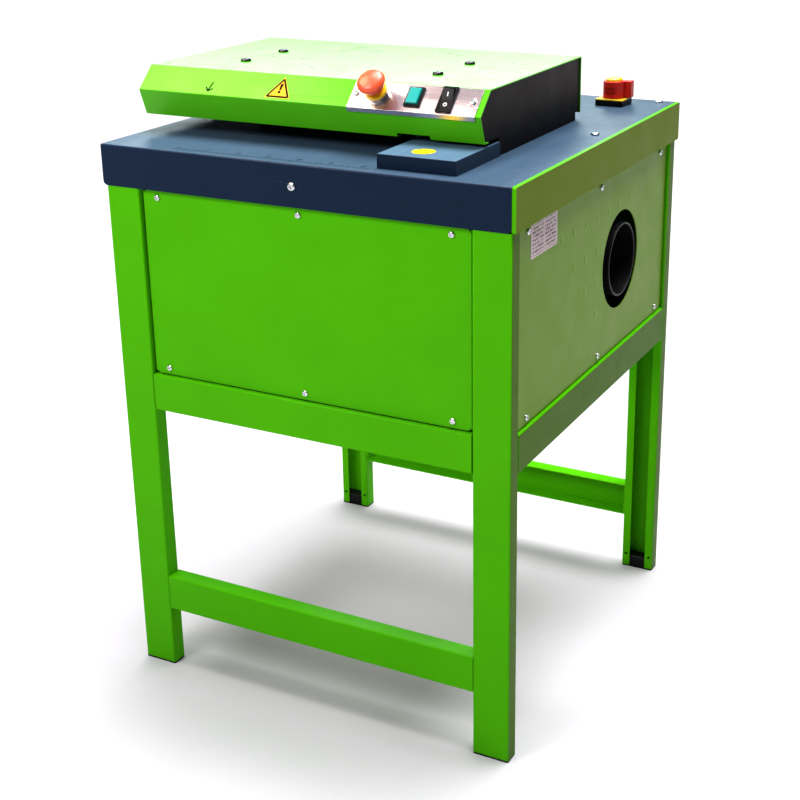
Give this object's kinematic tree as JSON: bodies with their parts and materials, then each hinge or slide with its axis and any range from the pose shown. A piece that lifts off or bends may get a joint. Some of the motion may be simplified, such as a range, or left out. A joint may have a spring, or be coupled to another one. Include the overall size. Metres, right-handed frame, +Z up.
{
  "type": "cardboard perforating machine",
  "caption": "Stand-mounted machine that perforates cardboard into padding: open sheet-metal stand, panelled cabinet with dust port, table, and a hooded cutter head with controls.",
  "frame": {"origin": "on the floor, in the middle of the table's and legs' footprint", "axes": "+X to the machine's right as its user stands before it, +Y to its rear (the way the board travels), +Z up"},
  "size_m": [0.65, 0.6584, 0.9562],
  "materials": {
    "green_paint": "satin powder coat",
    "navy_paint": "fine-textured powder coat",
    "black_plastic": "satin",
    "dark_steel": "blackened",
    "zinc": "bright zinc",
    "stainless": "brushed along its length",
    "chrome": "polished",
    "yellow_plastic": "gloss",
    "red_plastic": "gloss",
    "teal_plastic": "translucent gloss",
    "label": "printed film",
    "tool_steel": "ground",
    "cast_alloy": "sand cast",
    "motor_paint": "gloss enamel",
    "galvanised": "galvanised"
  },
  "bodies": {
    "stand": {"adjuster_bracket": "navy_paint", "bearings": "tool_steel", "cabinet_floor": "green_paint", "comb_lower": "tool_steel", "comb_upper": "navy_paint", "control_plate": "stainless", "cover_screws": "zinc", "dust_hopper": "galvanised", "dust_pipe": "black_plastic", "end_plate_left": "navy_paint", "end_plate_right": "navy_paint", "estop_body": "chrome", "estop_collar": "yellow_plastic", "foot_caps": "black_plastic", "gearbox": "cast_alloy", "guide_block": "navy_paint", "head_bars": "tool_steel", "hood": "green_paint", "hood_screws": "dark_steel", "hood_underside": "navy_paint", "leg_front_left": "green_paint", "leg_front_right": "green_paint", "leg_rear_left": "green_paint", "leg_rear_right": "green_paint", "motor": "motor_paint", "motor_saddles": "motor_paint", "panel_front": "green_paint", "panel_left": "green_paint", "panel_rear": "green_paint", "panel_right": "green_paint", "panel_strips": "green_paint", "rail_front": "green_paint", "rail_left": "green_paint", "rail_rear": "green_paint", "rail_right": "green_paint", "rating_label": "label", "rocker_frame": "black_plastic", "side_plate_left": "navy_paint", "side_plate_right": "navy_paint", "side_rail_left": "green_paint", "side_rail_right": "green_paint", "start_frame": "black_plastic", "stretcher_front": "green_paint", "stretcher_rear": "green_paint", "switch_base": "black_plastic", "switch_plate": "yellow_plastic", "table_screws": "zinc", "table_top": "navy_paint"},
    "estop_button": {"estop_mushroom": "red_plastic"},
    "start_button": {"start_cap": "teal_plastic"},
    "rocker_switch": {"rocker": "black_plastic"},
    "main_switch": {"switch_handle": "red_plastic", "switch_cap": "yellow_plastic"},
    "adjuster": {"adjuster_knob": "dark_steel"},
    "lower_cutter": {"cutter_shaft_lower": "tool_steel", "cutter_discs_lower": "tool_steel", "gear_lower": "tool_steel"},
    "upper_cutter": {"cutter_shaft_upper": "tool_steel", "cutter_discs_upper": "tool_steel", "gear_upper": "tool_steel"}
  },
  "joints": [
    {"name": "estop_push", "type": "slide", "parent": "stand", "child": "estop_button", "axis": [0, 0.6961, -0.7179], "range_m": [0, 0.004]},
    {"name": "start_push", "type": "slide", "parent": "stand", "child": "start_button", "axis": [0, 0.6961, -0.7179], "range_m": [0, 0.0025], "stiffness_N_per_m": 600},
    {"name": "rocker_tilt", "type": "hinge", "parent": "stand", "child": "rocker_switch", "pos_m": [0.1755, -0.21246, 0.91792], "axis": [1, 0, 0], "range_deg": [-20, 0]},
    {"name": "main_switch_turn", "type": "hinge", "parent": "stand", "child": "main_switch", "pos_m": [0.234, 0.264, 0.852], "axis": [0, 0, 1], "range_deg": [0, 90]},
    {"name": "adjuster_turn", "type": "hinge", "parent": "stand", "child": "adjuster", "pos_m": [0.125, -0.194, 0.87], "axis": [0, 0, 1], "range_deg": [0, 270]},
    {"name": "lower_cutter_spin", "type": "hinge", "parent": "stand", "child": "lower_cutter", "pos_m": [-0.032, 0, 0.816], "axis": [1, 0, 0], "continuous": true},
    {"name": "upper_cutter_spin", "type": "hinge", "parent": "stand", "child": "upper_cutter", "pos_m": [-0.032, 0, 0.872], "axis": [1, 0, 0], "continuous": true}
  ],
  "couplings": [
    {"joint": "upper_cutter_spin", "follows": "lower_cutter_spin", "ratio": -1}
  ]
}
